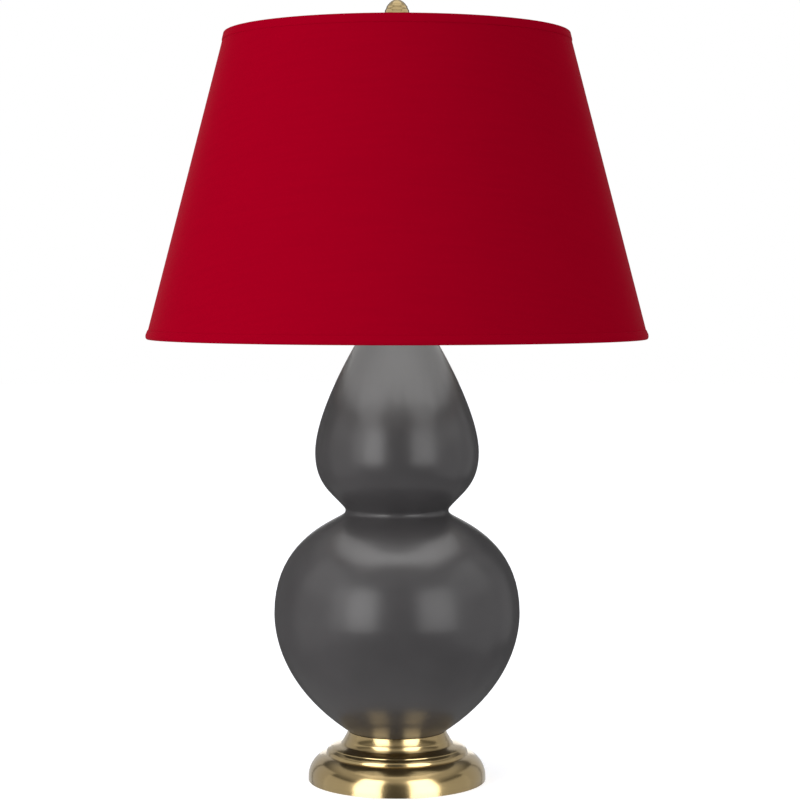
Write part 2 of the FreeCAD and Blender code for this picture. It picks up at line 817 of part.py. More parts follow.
def switch_shaft():
    length = knob_back() + knob_grip - switch_shaft_start
    return Part.makeCylinder(switch_shaft_radius, length, Vector(0, -switch_shaft_start, switch_z), FRONT)


def switch_knob():
    back = Vector(0, -knob_back(), switch_z)
    body = Part.makeCylinder(knob_radius, knob_length, back, FRONT)
    front_edge = [edge for edge in body.Edges if edge.BoundBox.YMax < back.y - knob_length + 0.01]
    body = body.makeFillet(1.4, front_edge)
    for index in range(knob_flutes):
        turn = 2 * math.pi * index / knob_flutes
        groove_at = Vector(knob_radius * math.cos(turn), back.y - 1.5,
                           switch_z + knob_radius * math.sin(turn))
        body = body.cut(Part.makeCylinder(knob_flute_radius, knob_length, groove_at, FRONT))
    return body.cut(Part.makeCylinder(switch_shaft_radius, knob_grip, back, FRONT))


# ---------------------------------------------------------------- bulb
bulb_z = interior_z + contact_height + bulb_rest_gap
bulb_insulator_z = bulb_z + bulb_tip_height
bulb_cap_z = bulb_insulator_z + bulb_insulator_height
bulb_cap_top_z = bulb_cap_z + bulb_cap_height


def bulb_cap_radius():
    return screw_shell_radius - screw_shell_wall - bulb_cap_play


def bulb_contact():
    section = [dome(at(bulb_tip_radius, bulb_insulator_z), at(0, bulb_z))]
    section += chain([at(0, bulb_z), at(0, bulb_insulator_z), at(bulb_tip_radius, bulb_insulator_z)])
    return turned(section)


def bulb_insulator():
    return turned_points([at(0, bulb_insulator_z), at(bulb_tip_radius + 0.6, bulb_insulator_z),
                          at(bulb_insulator_radius, bulb_cap_z), at(0, bulb_cap_z)])


def bulb_cap():
    outer = bulb_cap_radius()
    taper_z = bulb_cap_z + bulb_cap_taper
    return turned_points([
        at(0, bulb_cap_z), at(bulb_insulator_radius, bulb_cap_z), at(outer, taper_z),
        at(outer, bulb_cap_top_z), at(outer - bulb_cap_wall, bulb_cap_top_z),
        at(outer - bulb_cap_wall, taper_z + bulb_cap_wall), at(0, taper_z + bulb_cap_wall)])


def glass_side(inset):
    """Neck, a concave sweep and the round of the bulb, from the cap up to the crown."""
    neck = at(bulb_cap_radius() - bulb_cap_wall - bulb_neck_play - inset, bulb_cap_top_z)
    centre = at(0, bulb_cap_top_z + bulb_glass_length - bulb_glass_radius)
    ball = bulb_glass_radius - inset
    sweep = bulb_neck_sweep + inset
    sweep_centre = at(neck.x + sweep, 0)
    drop = math.sqrt((ball + sweep) ** 2 - sweep_centre.x ** 2)
    sweep_centre = at(sweep_centre.x, centre.z - drop)
    meet = centre + (sweep_centre - centre).normalize() * ball
    start = at(neck.x, sweep_centre.z)
    mid_sweep = sweep_centre + (start + meet - sweep_centre * 2).normalize() * sweep
    crown = at(0, centre.z + ball)
    side = at(ball, centre.z)
    return [line(neck, start), Part.Arc(start, mid_sweep, meet).toShape(),
            Part.Arc(meet, side, crown).toShape()], neck


def bulb_glass():
    outside, neck = glass_side(0)
    inside, inner_neck = glass_side(bulb_glass_wall)
    drop = Vector(0, 0, -bulb_neck_depth)
    crown = outside[-1].valueAt(outside[-1].LastParameter)
    inner_crown = inside[-1].valueAt(inside[-1].LastParameter)
    section = [line(neck + drop, neck)] + outside + [line(crown, inner_crown)] + inside[::-1]
    section += chain([inner_neck, inner_neck + drop, neck + drop])
    return turned(section)


# ---------------------------------------------------------------- shade
shade_slant = math.hypot(shade_bottom_radius - shade_top_radius, shade_height)
shade_lean = math.degrees(math.atan2(shade_height, shade_top_radius - shade_bottom_radius))
layer_fabric = trim_thickness
layer_lining = layer_fabric + fabric_thickness
layer_back = layer_lining + lining_thickness
layer_fold = layer_back + trim_thickness


def on_wall(along, depth):
    """Point of the shade's section: so far up the slant from the bottom edge, so deep inside."""
    return (at(shade_bottom_radius, shade_bottom_z) + heading(shade_lean) * along
            + inward(shade_lean) * depth)


def wall_layer(depth, thickness):
    low, high = trim_thickness, shade_slant - trim_thickness
    return turned_points([on_wall(low, depth), on_wall(high, depth),
                          on_wall(high, depth + thickness), on_wall(low, depth + thickness)])


def shade_fabric():
    return wall_layer(layer_fabric, fabric_thickness)


def shade_lining():
    return wall_layer(layer_lining, lining_thickness)


def edge_trim(edge, direction):
    """Strip of the same cloth folded over an edge of the shade."""
    lap = edge + direction * trim_height
    turn = edge + direction * trim_thickness
    return turned_points([on_wall(edge, 0), on_wall(lap, 0), on_wall(lap, layer_fabric),
                          on_wall(turn, layer_fabric), on_wall(turn, layer_back),
                          on_wall(lap, layer_back), on_wall(lap, layer_fold), on_wall(edge, layer_fold)])


def frame_ring(along):
    centre = on_wall(along, layer_fold + frame_wire_gap + frame_wire_radius)
    return Part.makeTorus(centre.x, frame_wire_radius, at(0, centre.z)), centre


def top_ring():
    return frame_ring(shade_slant - frame_wire_inset)


def bottom_ring():
    return frame_ring(frame_wire_inset)


def spider_hub():
    edge = 0.6
    bore = stud_radius + hub_play
    return turned_points([at(bore, shade_seat_z), at(hub_radius - edge, shade_seat_z),
                          at(hub_radius, shade_seat_z + edge), at(hub_radius, hub_top_z - edge),
                          at(hub_radius - edge, hub_top_z), at(bore, hub_top_z)])


def spider_arms():
    wire_ring, ring_centre = top_ring()
    kick = math.radians(arm_kick)
    level_z = shade_seat_z + frame_wire_radius
    rise = ring_centre.z - level_z
    bend_rise = arm_bend * (1 - math.cos(kick))
    slope_run = (rise - bend_rise) / math.tan(kick)
    bend_end = at(ring_centre.x - slope_run, level_z + bend_rise)
    bend_start = at(bend_end.x - arm_bend * math.sin(kick), level_z)
    sag = arm_bend * (1 - math.cos(kick / 2))
    hub = spider_hub()
    rod = swept([line(at(hub_radius - 2, level_z), bend_start), bow(bend_start, bend_end, sag),
                 line(bend_end, ring_centre)], frame_wire_radius, Vector(1, 0, 0))
    arm = rod.cut(Part.makeCylinder(hub_radius, hub_thickness, at(0, shade_seat_z))).cut(wire_ring)
    arm = max(arm.Solids, key=lambda solid: solid.Volume)
    return Part.makeCompound([around_axis(arm, arm_first_angle + index * 360 / arm_count)
                              for index in range(arm_count)])


# ---------------------------------------------------------------- finial
def finial():
    top = finial_z + finial_height
    half = finial_hive_height / 2 + finial_tier_pitch
    middle_z = top - half

    def hive(z):
        return finial_radius * math.sqrt(1 - ((z - middle_z) / half) ** 2)

    grooves = [top - finial_first_tier - index * finial_tier_pitch for index in range(finial_tiers)]
    hive_foot = at(hive(grooves[-1]), grooves[-1])
    neck = at(finial_neck_radius, hive_foot.z - finial_tier_pitch * 0.75)
    foot_edge = at(finial_foot_radius, finial_z + finial_foot_edge)
    section = chain([at(0, finial_z), at(finial_foot_radius - 0.6, finial_z)])
    section += [line(at(finial_foot_radius - 0.6, finial_z), foot_edge)]
    section += [bow(foot_edge, neck, -1.6), bow(neck, hive_foot, -0.8)]
    rising = grooves[::-1]
    for low, high in zip(rising, rising[1:]):
        section.append(bow(at(hive(low), low), at(hive(high), high), finial_tier_bulge))
    section.append(dome(at(hive(grooves[0]), grooves[0]), at(0, top)))
    section.append(line(at(0, top), at(0, finial_z)))
    bore_depth = stud_length + finial_bore_spare
    return turned(section).cut(Part.makeCylinder(stud_radius + finial_play, bore_depth, at(0, finial_z)))


# ---------------------------------------------------------------- write the parts
def lamp_parts():
    return {
        "felt_pad": felt_pad(),
        "base_shell": base_shell(),
        "base_weight": base_weight(),
        "cord_bushing": cord_bushing(),
        "lamp_pipe": lamp_pipe(),
        "lock_washer": lock_washer(),
        "pipe_nut": pipe_nut(),
        "seat_gasket": seat_gasket(),
        "gourd_body": gourd_body(),
        "neck_gasket": neck_gasket(),
        "vase_cap": vase_cap(),
        "neck_spacer": neck_spacer(),
        "check_ring": check_ring(),
        "harp_saddle": harp_saddle(),
        "saddle_nut": saddle_nut(),
        "harp": harp(),
        "harp_sleeve_left": harp_sleeve(-1),
        "harp_sleeve_right": harp_sleeve(1),
        "harp_stud": harp_stud(),
        "socket_cap": socket_cap(),
        "socket_set_screw": socket_set_screw(),
        "socket_shell": socket_shell(),
        "socket_liner": socket_liner(),
        "socket_interior": socket_interior(),
        "terminal_screws": terminal_screws(),
        "screw_shell": screw_shell(),
        "centre_contact": centre_contact(),
        "switch_shaft": switch_shaft(),
        "switch_knob": switch_knob(),
        "bulb_contact": bulb_contact(),
        "bulb_insulator": bulb_insulator(),
        "bulb_cap": bulb_cap(),
        "bulb_glass": bulb_glass(),
        "spider_hub": spider_hub(),
        "spider_arms": spider_arms(),
        "top_ring": top_ring()[0],
        "bottom_ring": bottom_ring()[0],
        "shade_lining": shade_lining(),
        "shade_fabric": shade_fabric(),
        "top_trim": edge_trim(shade_slant, -1),
        "bottom_trim": edge_trim(0, 1),
        "finial": finial(),
    }


os.makedirs("parts", exist_ok=True)
for name, shape in lamp_parts().items():
    print(f"{name:18s} solids {len(shape.Solids)} valid {shape.isValid()} "
          f"volume {shape.Volume:12.1f} z {shape.BoundBox.ZMin:7.2f}..{shape.BoundBox.ZMax:7.2f}")
    shape.exportStep(f"parts/{name}.step")
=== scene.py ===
import math

import bpy
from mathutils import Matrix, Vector


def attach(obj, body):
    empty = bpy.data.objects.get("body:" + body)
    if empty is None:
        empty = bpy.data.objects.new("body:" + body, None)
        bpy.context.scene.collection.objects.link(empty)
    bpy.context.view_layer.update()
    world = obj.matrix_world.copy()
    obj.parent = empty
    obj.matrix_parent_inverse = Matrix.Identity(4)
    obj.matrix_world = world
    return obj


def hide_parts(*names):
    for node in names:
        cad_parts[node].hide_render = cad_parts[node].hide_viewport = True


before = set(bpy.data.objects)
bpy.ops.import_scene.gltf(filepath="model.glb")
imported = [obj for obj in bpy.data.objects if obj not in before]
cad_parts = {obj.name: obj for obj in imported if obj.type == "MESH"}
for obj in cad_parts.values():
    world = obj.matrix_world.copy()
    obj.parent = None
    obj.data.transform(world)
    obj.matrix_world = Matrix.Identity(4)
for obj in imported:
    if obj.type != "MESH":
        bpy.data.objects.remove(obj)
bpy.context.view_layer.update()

scene = bpy.context.scene
bpy.ops.object.select_all(action="DESELECT")

# ---------------------------------------------------------------- camera
# A long lens 2.2 m in front of the lamp, level with the neck of the gourd and
# tipped down by three degrees, with the lamp a little left of the middle.
bpy.ops.object.camera_add(location=(0.003, -2.2164, 0.5025),
                          rotation=(math.radians(90 - 3.005), 0, 0))
camera = bpy.context.object
camera.name = "camera"
camera.data.sensor_width = 36
camera.data.lens = 98.92
scene.camera = camera
scene.view_settings.view_transform = "Standard"

# ---------------------------------------------------------------- studio
# A white paper sweep under and behind the lamp and a dark room in front of it.
# A key light serves the matt cloth. Softboxes and white boards, in one group for
# each piece that mirrors them, serve the glaze and the metal.


def tint(code):
    """Linear colour of an sRGB hex value."""
    shades = [int(code[i:i + 2], 16) / 255 for i in (1, 3, 5)]
    return [s / 12.92 if s <= 0.04045 else ((s + 0.055) / 1.055) ** 2.4 for s in shades] + [1]


def add(tree, kind, sockets=None, **settings):
    """Add a shader node, set its options, and set or link its sockets."""
    node = tree.nodes.new("ShaderNode" + kind)
    for option, value in settings.items():
        setattr(node, option, value)
    for socket, value in (sockets or {}).items():
        if isinstance(value, bpy.types.NodeSocket):
            tree.links.new(value, node.inputs[socket])
        else:
            node.inputs[socket].default_value = value
    return node


def blank(owner):
    """The emptied node tree of a new material or world."""
    owner.use_nodes = True
    owner.node_tree.nodes.clear()
    return owner.node_tree


def sees_backdrop(tree):
    """1 for camera, mirror and see-through rays, 0 for the rest."""
    rays = add(tree, "LightPath")
    glossy = add(tree, "Math", {0: rays.outputs["Is Camera Ray"], 1: rays.outputs["Is Glossy Ray"]},
                 operation="MAXIMUM")
    return add(tree, "Math", {0: glossy.outputs[0], 1: rays.outputs["Is Transmission Ray"]},
               operation="MAXIMUM").outputs[0]


air = bpy.data.worlds.new("white_sweep")
tree = blank(air)
fill = add(tree, "Background", {"Color": tint("#f8f9ff"), "Strength": 0.83})
backdrop = add(tree, "Background", {"Color": (1, 1, 1, 1), "Strength": 1.0})
seen = add(tree, "MixShader", {0: sees_backdrop(tree), 1: fill.outputs[0], 2: backdrop.outputs[0]})
add(tree, "OutputWorld", {"Surface": seen.outputs[0]})
scene.world = air

bpy.ops.mesh.primitive_circle_add(vertices=64, radius=9, fill_type="NGON")
floor = bpy.context.object
floor.name = "floor"

# Matt white paper. What the camera and mirrors see of it is lifted to white.
paper = bpy.data.materials.new("white_paper_sweep")
tree = blank(paper)
matt = add(tree, "BsdfDiffuse", {"Color": tint("#e8e8e8")})
glow = add(tree, "Emission", {"Color": (1, 1, 1, 1), "Strength": 0.56})
both = add(tree, "AddShader", {0: matt.outputs[0], 1: glow.outputs[0]})
lit = add(tree, "MixShader", {0: sees_backdrop(tree), 1: matt.outputs[0], 2: both.outputs[0]})
add(tree, "OutputMaterial", {"Surface": lit.outputs[0]})
floor.data.materials.append(paper)
floor.visible_glossy = False

bpy.ops.mesh.primitive_uv_sphere_add(segments=64, ring_count=32, radius=4.2, location=(0, 0, 0.4))
room = bpy.context.object
room.name = "dark_room"
bpy.ops.object.mode_set(mode="EDIT")
bpy.ops.mesh.select_all(action="SELECT")
bpy.ops.mesh.bisect(plane_co=(0, 4.1, 0), plane_no=(0, 1, 0), clear_outer=True)
bpy.ops.object.mode_set(mode="OBJECT")

# The dark room: dimmest at the lamp's height, paler towards its floor and ceiling.
curtain = bpy.data.materials.new("dark_room_with_pale_ceiling")
tree = blank(curtain)
height = add(tree, "SeparateXYZ", {0: add(tree, "TexCoord").outputs["Object"]}).outputs["Z"]
low = add(tree, "MapRange", {"Value": height, "From Min": -4.0, "From Max": -1.6,
                             "To Min": 0.5, "To Max": 0.09})
high = add(tree, "MapRange", {"Value": height, "From Min": 1.6, "From Max": 2.8, "To Max": 0.55})
level = add(tree, "Math", {0: low.outputs[0], 1: high.outputs[0]}, operation="MAXIMUM")
dim = add(tree, "Emission", {"Color": (1, 1, 1, 1), "Strength": level.outputs[0]})
add(tree, "OutputMaterial", {"Surface": dim.outputs[0]})
room.data.materials.append(curtain)
for ray in ("camera", "diffuse", "transmission", "shadow", "volume_scatter"):
    setattr(room, "visible_" + ray, False)


def softbox(name, size, place, aim, radiance, kind="RECTANGLE"):
    """A softbox whose face has the given radiance, turned towards aim. Only glossy
    surfaces see it: the matt ones have the key light and the fill of the sweep."""
    bpy.ops.object.light_add(type="AREA", location=place)
    box = bpy.context.object
    box.name = name
    box.data.shape = kind
    box.data.size, box.data.size_y = size
    face = size[0] * size[1] * (1 if kind == "RECTANGLE" else math.pi / 4)
    box.data.energy = radiance * face * math.pi
    box.rotation_euler = (Vector(aim) - Vector(place)).to_track_quat("-Z", "Y").to_euler()
    box.visible_camera = box.visible_diffuse = False
    return box


def around(azimuth, distance, height):
    """A place by degrees right of the front, metres from the lamp, and height."""
    turn = math.radians(azimuth)
    return (math.sin(turn) * distance, -math.cos(turn) * distance, height)


def stand_softbox(name, size, azimuth, height, radiance):
    """A softbox on a stand, two metres from the lamp and level, facing its axis."""
    return softbox(name, size, around(azimuth, 2.0, height), (0, 0, height), radiance)


def side_board(name, size, place, radiance):
    """A white board at one side of the set, facing straight across it."""
    return softbox(name, size, place, (0, place[1], place[2]), radiance)


# The key stands high on the left. It is the only lamp that matt surfaces see.
key = softbox("key_light", (1.6, 1.6), around(-51, 2.2, 1.1), (0, 0, 0.55), 2.7)
key.visible_diffuse, key.visible_glossy = True, False

# What the gourd mirrors: a tall softbox on each side, the left one with a
# feathered edge, and dim boards that lift its rims.
over_body = [
    side_board("left_board", (1.9, 2.8), (-1.9, -0.45, 0.7), 0.36),
    side_board("right_board", (1.9, 2.8), (1.9, -0.45, 0.6), 0.52),
    side_board("left_high_board", (1.9, 1.4), (-1.9, -0.45, 1.4), 0.36),
    side_board("right_high_board", (1.9, 1.4), (1.9, -0.45, 1.4), 0.4),
    stand_softbox("left_softbox", (0.97, 1.5), -32, 0.63, 3.3),
    stand_softbox("left_feather", (0.56, 1.5), -53.5, 0.63, 1.0),
    stand_softbox("right_softbox", (1.2, 1.5), 37, 0.63, 2.45),
    side_board("right_back_board", (1.2, 2.4), (1.9, 1.15, 0.6), 0.35)]

# Under the shade: a strip on each side of the front, and the lit lining, which
# the gourd's shoulders mirror, as a ring of panels along its cone. Each panel is
# a little wider than its part of the ring, and the front ones start over the strips.
over_gourd = [
    softbox("left_strip", (0.17, 0.08), around(-38, 0.23, 0.49), (0, 0, 0.4), 1.7),
    softbox("right_strip", (0.17, 0.08), around(38, 0.23, 0.49), (0, 0, 0.4), 1.4)]
lining_radius, lining_foot, lining_top = 0.2446, 0.4487, 0.745
inward, slanting = 0.2607, 1.033  # how far in, and along the cone, for each metre up
for azimuth in range(-160, 181, 20):
    bottom = 0.515 if abs(azimuth) < 50 else 0.485
    level = (bottom + lining_top) / 2
    reach = lining_radius - inward * (level - lining_foot)
    front_glow = 1.65 * math.cos(math.radians(azimuth))
    over_gourd.append(softbox("lining_panel", (0.36 * reach, slanting * (lining_top - bottom)),
                              around(azimuth, reach, level), (0, 0, level - inward * reach),
                              2.1 + front_glow))

# What the brass base mirrors: two taller softboxes, boards on every side but the
# front, a round light overhead, and two small boards for the top of its step.
over_base = [
    stand_softbox("left_base_softbox", (1.3, 3.0), -38, 0.9, 4.4),
    stand_softbox("right_base_softbox", (1.35, 3.0), 35.5, 0.9, 4.4),
    side_board("left_side_board", (1.9, 1.7), (-1.9, -0.45, 0.1), 0.58),
    side_board("right_side_board", (1.9, 1.7), (1.9, -0.45, 0.1), 0.5),
    side_board("left_base_board", (1.9, 2.2), (-2.0, 1.45, 0.4), 0.5),
    side_board("right_base_board", (1.9, 2.2), (2.0, 1.45, 0.4), 0.45),
    softbox("back_base_board", (3.6, 3.0), (0, 2.4, -0.2), (0, 0, -0.2), 0.5),
    softbox("base_overhead", (0.62, 0.62), (0, 0, 0.44), (0, 0, 0), 0.45, "DISK")]
over_step = [
    softbox("left_step_board", (0.12, 0.2), (-0.13, -0.1, 0.3), (-0.13, -0.1, 0), 0.6),
    softbox("right_step_board", (0.12, 0.2), (0.13, -0.1, 0.3), (0.13, -0.1, 0), 0.6)]

# What the finial mirrors: wide boards at the front and the sides, and one above.
over_finial = [
    softbox("finial_board", (3.6, 3.2), (0, -1.9, 0.78), (0, 0, 0.78), 0.68),
    side_board("finial_left_board", (3.6, 3.2), (-1.9, 0, 0.78), 0.85),
    side_board("finial_right_board", (3.6, 3.2), (1.9, 0, 0.78), 0.85),
    softbox("finial_overhead", (1.5, 1.5), (0, 0, 2.0), (0, 0, 0), 0.7, "DISK")]

# Each group lights its own piece, and only the pieces beside it shade its light.
polished = bpy.data.collections.new("gourd_and_base")
body = bpy.data.collections.new("gourd_alone")
foot = bpy.data.collections.new("base_alone")
tip = bpy.data.collections.new("finial_alone")
for lamps, lit_pieces, shading_pieces in (
        (over_body, body, polished), (over_gourd, body, polished), (over_base, foot, polished),
        (over_step, foot, foot), (over_finial, tip, tip)):
    for lamp in lamps:
        lamp.light_linking.receiver_collection = lit_pieces
        lamp.light_linking.blocker_collection = shading_pieces

# ---------------------------------------------------------------- felt and weight
# A disc of pressed wool felt is glued under the base, and a cast iron weight
# sits inside it, with the lamp's pipe, nut and washer in the middle.


def surface(tree, **finish):
    """A surface shader wired to the output, with its settings by socket name."""
    shader = add(tree, "BsdfPrincipled", {k.replace("_", " "): v for k, v in finish.items()})
    add(tree, "OutputMaterial", {"Surface": shader.outputs[0]})
    return shader


def dress(material, *names):
    """Give solids of the frame their finish."""
    for name in names:
        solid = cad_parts[name]
        if not solid.material_slots:
            solid.data.materials.append(material)
        for slot in solid.material_slots:
            slot.material = material


# Pressed wool: matt, with short fibres that catch the light in all directions.
felt = bpy.data.materials.new("pressed_wool_felt")
tree = blank(felt)
place = add(tree, "TexCoord").outputs["Object"]
fibre = add(tree, "TexNoise", {"Vector": place, "Scale": 1000 / 1.2, "Detail": 4.0})
shade = add(tree, "ValToRGB", {"Fac": fibre.outputs["Fac"]})
shade.color_ramp.elements[0].color = tint("#1d1b18")
shade.color_ramp.elements[1].color = tint("#3a3631")
nap = add(tree, "Bump", {"Height": fibre.outputs["Fac"], "Distance": 0.0004, "Strength": 0.6})
wool = surface(tree, Roughness=0.95)
tree.links.new(shade.outputs[0], wool.inputs["Base Color"])
tree.links.new(nap.outputs[0], wool.inputs["Normal"])
dress(felt, "felt_pad")

# Sand-cast iron under a thin black wash: grainy, dull, with a pitted skin.
iron = bpy.data.materials.new("sand_cast_iron")
tree = blank(iron)
place = add(tree, "TexCoord").outputs["Object"]
grit = add(tree, "TexNoise", {"Vector": place, "Scale": 1000 / 0.9, "Detail": 5.0})
shade = add(tree, "ValToRGB", {"Fac": grit.outputs["Fac"]})
shade.color_ramp.elements[0].color = tint("#242322")
shade.color_ramp.elements[1].color = tint("#45423f")
pits = add(tree, "Bump", {"Height": grit.outputs["Fac"], "Distance": 0.0005, "Strength": 0.8})
cast = surface(tree, Roughness=0.7, Metallic=0.6)
tree.links.new(shade.outputs[0], cast.inputs["Base Color"])
tree.links.new(pits.outputs[0], cast.inputs["Normal"])
dress(iron, "base_weight")

# Zinc-plated steel: cool grey, a little cloudy, with a soft mirror.
zinc = bpy.data.materials.new("zinc_plated_steel")
tree = blank(zinc)
place = add(tree, "TexCoord").outputs["Object"]
cloud = add(tree, "TexNoise", {"Vector": place, "Scale": 1000 / 6, "Detail": 3.0})
shade = add(tree, "ValToRGB", {"Fac": cloud.outputs["Fac"]})
shade.color_ramp.elements[0].color = tint("#a4a7aa")
shade.color_ramp.elements[1].color = tint("#c9cbcc")
dull = add(tree, "MapRange", {"Value": cloud.outputs["Fac"], "To Min": 0.24, "To Max": 0.42})
plate = surface(tree, Metallic=1.0)
tree.links.new(shade.outputs[0], plate.inputs["Base Color"])
tree.links.new(dull.outputs[0], plate.inputs["Roughness"])
dress(zinc, "lamp_pipe", "lock_washer", "pipe_nut", "saddle_nut", "socket_set_screw",
      "switch_shaft")

# Moulded rubber: black, matt, with a dusty bloom.
rubber = bpy.data.materials.new("moulded_rubber")
tree = blank(rubber)
place = add(tree, "TexCoord").outputs["Object"]
bloom = add(tree, "TexNoise", {"Vector": place, "Scale": 1000 / 4, "Detail": 4.0})
shade = add(tree, "ValToRGB", {"Fac": bloom.outputs["Fac"]})
shade.color_ramp.elements[0].color = tint("#161514")
shade.color_ramp.elements[1].color = tint("#2a2927")
soft = surface(tree, Roughness=0.75)
tree.links.new(shade.outputs[0], soft.inputs["Base Color"])
dress(rubber, "seat_gasket", "neck_gasket")

# ---------------------------------------------------------------- base
# Brass sheet spun over a former in three steps: a rounded flange, a rolled
# middle step and a flared neck whose rim carries the gourd.

# Antique brass, spun and satin lacquered: fine turning lines run round the
# piece, the tone drifts a little, and highlights smear across the lines.
brass = bpy.data.materials.new("spun_antique_brass")
tree = blank(brass)
place = add(tree, "TexCoord").outputs["Object"]
flat = add(tree, "VectorMath", {0: place, 1: (1, 1, 0)}, operation="MULTIPLY")
reach = add(tree, "VectorMath", {0: flat.outputs[0]}, operation="LENGTH")
height = add(tree, "SeparateXYZ", {0: place}).outputs["Z"]
turning = add(tree, "CombineXYZ", {"X": reach.outputs["Value"], "Z": height})
lines = add(tree, "TexNoise", {"Vector": turning.outputs[0], "Scale": 1000 / 0.5, "Detail": 2.0})
cloud = add(tree, "TexNoise", {"Vector": place, "Scale": 1000 / 30, "Detail": 3.0})
mixed = add(tree, "Mix", {"Factor": 0.4, 2: lines.outputs["Fac"], 3: cloud.outputs["Fac"]},
            data_type="FLOAT")
shade = add(tree, "ValToRGB", {"Fac": mixed.outputs[0]})
shade.color_ramp.elements[0].position = 0.3
shade.color_ramp.elements[0].color = tint("#b1986a")
shade.color_ramp.elements[1].position = 0.7
shade.color_ramp.elements[1].color = tint("#bda674")
dull = add(tree, "MapRange", {"Value": cloud.outputs["Fac"], "From Min": 0.3, "From Max": 0.7,
                              "To Min": 0.17, "To Max": 0.21})
ridges = add(tree, "Bump", {"Height": lines.outputs["Fac"], "Distance": 0.000006, "Strength": 0.5})
turned = surface(tree, Metallic=1.0, Anisotropic=0.3, Anisotropic_Rotation=0.25, Coat_Weight=0.5,
                 Coat_Roughness=0.12)
tree.links.new(shade.outputs[0], turned.inputs["Base Color"])
tree.links.new(dull.outputs[0], turned.inputs["Roughness"])
tree.links.new(ridges.outputs[0], turned.inputs["Normal"])
tree.links.new(add(tree, "Tangent", direction_type="RADIAL", axis="Z").outputs[0],
               turned.inputs["Tangent"])


def draw_section(name, stations, closed=True):
    """Half section of a turned piece, in mm. A station is a corner (radius, height), or a
    smooth point with its heading in degrees and the reach of its curve back and ahead."""
    bpy.ops.curve.primitive_bezier_curve_add()
    section = bpy.context.object
    section.name = name
    spline = section.data.splines[0]
    spline.bezier_points.add(len(stations) - 2)
    spline.use_cyclic_u = closed
    for point, (radius, level, *flow) in zip(spline.bezier_points, stations):
        heading, back, ahead = flow or (0, 0, 0)
        along = Vector((math.cos(math.radians(heading)), 0, math.sin(math.radians(heading))))
        here = Vector((radius, 0, level))
        point.handle_left_type = point.handle_right_type = "FREE"
        point.co = here / 1000
        point.handle_left = (here - along * back) / 1000
        point.handle_right = (here + along * ahead) / 1000
    section.data.resolution_u = 20
    bpy.ops.object.convert(target="MESH")
    section.data.name = name
    return section


def spin_round(piece, steps):
    """Turn a half section round the lamp's axis into a clean skin."""
    bpy.ops.object.mode_set(mode="EDIT")
    bpy.ops.mesh.select_all(action="SELECT")
    bpy.ops.mesh.dissolve_limited(angle_limit=math.radians(0.6))
    bpy.ops.mesh.select_all(action="SELECT")
    bpy.ops.mesh.spin(steps=steps, angle=2 * math.pi, center=(0, 0, 0), axis=(0, 0, 1))
    bpy.ops.mesh.select_all(action="SELECT")
    bpy.ops.mesh.remove_doubles(threshold=0.000002)
    bpy.ops.mesh.normals_make_consistent(inside=False)
    bpy.ops.object.mode_set(mode="OBJECT")
    bpy.ops.object.shade_smooth_by_angle(angle=math.radians(32))
    return piece


outer_skin = [
    (90.0, 0.4), (90.0, 3.9, 90, 0, 10.9), (72.2, 27.2, 165, 10.9, 0.3),
    (71.6, 27.8, 90, 0.33, 1.7), (69.6, 31.8, 142, 2.2, 0), (67.0, 33.3),
    (66.75, 34.0, 149, 0, 3.4), (57.0, 37.4, 165, 3.4, 0.6), (53.5, 42.9, 105, 2.4, 0),
    (53.1, 43.3, 123, 0, 2.5), (49.9, 49.9, 108, 2.4, 0.3)]
rim_and_seat = [
    (49.3, 50.6, 180, 0.3, 0.2), (48.6, 49.9, 270, 0.3, 0), (48.6, 45.0), (5.21, 45.0),
    (5.21, 43.8)]
inner_skin = [
    (51.7, 43.8, 285, 0, 2.2), (56.15, 36.55), (65.75, 33.05), (70.75, 28.95), (70.4, 27.2),
    (71.0, 26.3, 345, 0, 10.2), (88.8, 3.9, 270, 10.2, 0), (88.8, 0.4)]
base = draw_section("spun_base", outer_skin + rim_and_seat + inner_skin)
spin_round(base, 160)

# The hole for the cord's bushing is drilled through the flange at the back.
bpy.ops.mesh.primitive_cylinder_add(vertices=40, radius=0.005, depth=0.04,
                                    location=(0, 0.088, 0.0086),
                                    rotation=(math.radians(90), 0, 0))
drill = bpy.context.object
bore = base.modifiers.new("cord_hole", "BOOLEAN")
bore.object = drill
bpy.context.view_layer.objects.active = base
bpy.ops.object.modifier_apply(modifier="cord_hole")
bpy.data.objects.remove(drill)
base.data.materials.clear()
base.data.materials.append(brass)
polished.objects.link(base)
foot.objects.link(base)
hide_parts("base_shell")
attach(base, "root")

# ---------------------------------------------------------------- cord bushing
# A black moulded bushing lines the hole where the lamp's cord leaves the base.
# The switch's knob is moulded from the same plastic.

# Black polyamide: smooth moulded skin with a low sheen and faint flow marks.
polyamide = bpy.data.materials.new("moulded_polyamide")
tree = blank(polyamide)
place = add(tree, "TexCoord").outputs["Object"]
flow = add(tree, "TexNoise", {"Vector": place, "Scale": 1000 / 2.5, "Detail": 3.0})
shade = add(tree, "ValToRGB", {"Fac": flow.outputs["Fac"]})
shade.color_ramp.elements[0].color = tint("#141210")
shade.color_ramp.elements[1].color = tint("#221f1c")
dull = add(tree, "MapRange", {"Value": flow.outputs["Fac"], "To Min": 0.34, "To Max": 0.5})
moulded = surface(tree, IOR=1.53)
tree.links.new(shade.outputs[0], moulded.inputs["Base Color"])
tree.links.new(dull.outputs[0], moulded.inputs["Roughness"])
dress(polyamide, "cord_bushing", "switch_knob")

# ---------------------------------------------------------------- gourd
# Two bulbs slip-cast in one piece with a 6 mm wall, open at the neck, with a
# hole in the foot for the pipe. The foot stands on a rubber ring in the base.

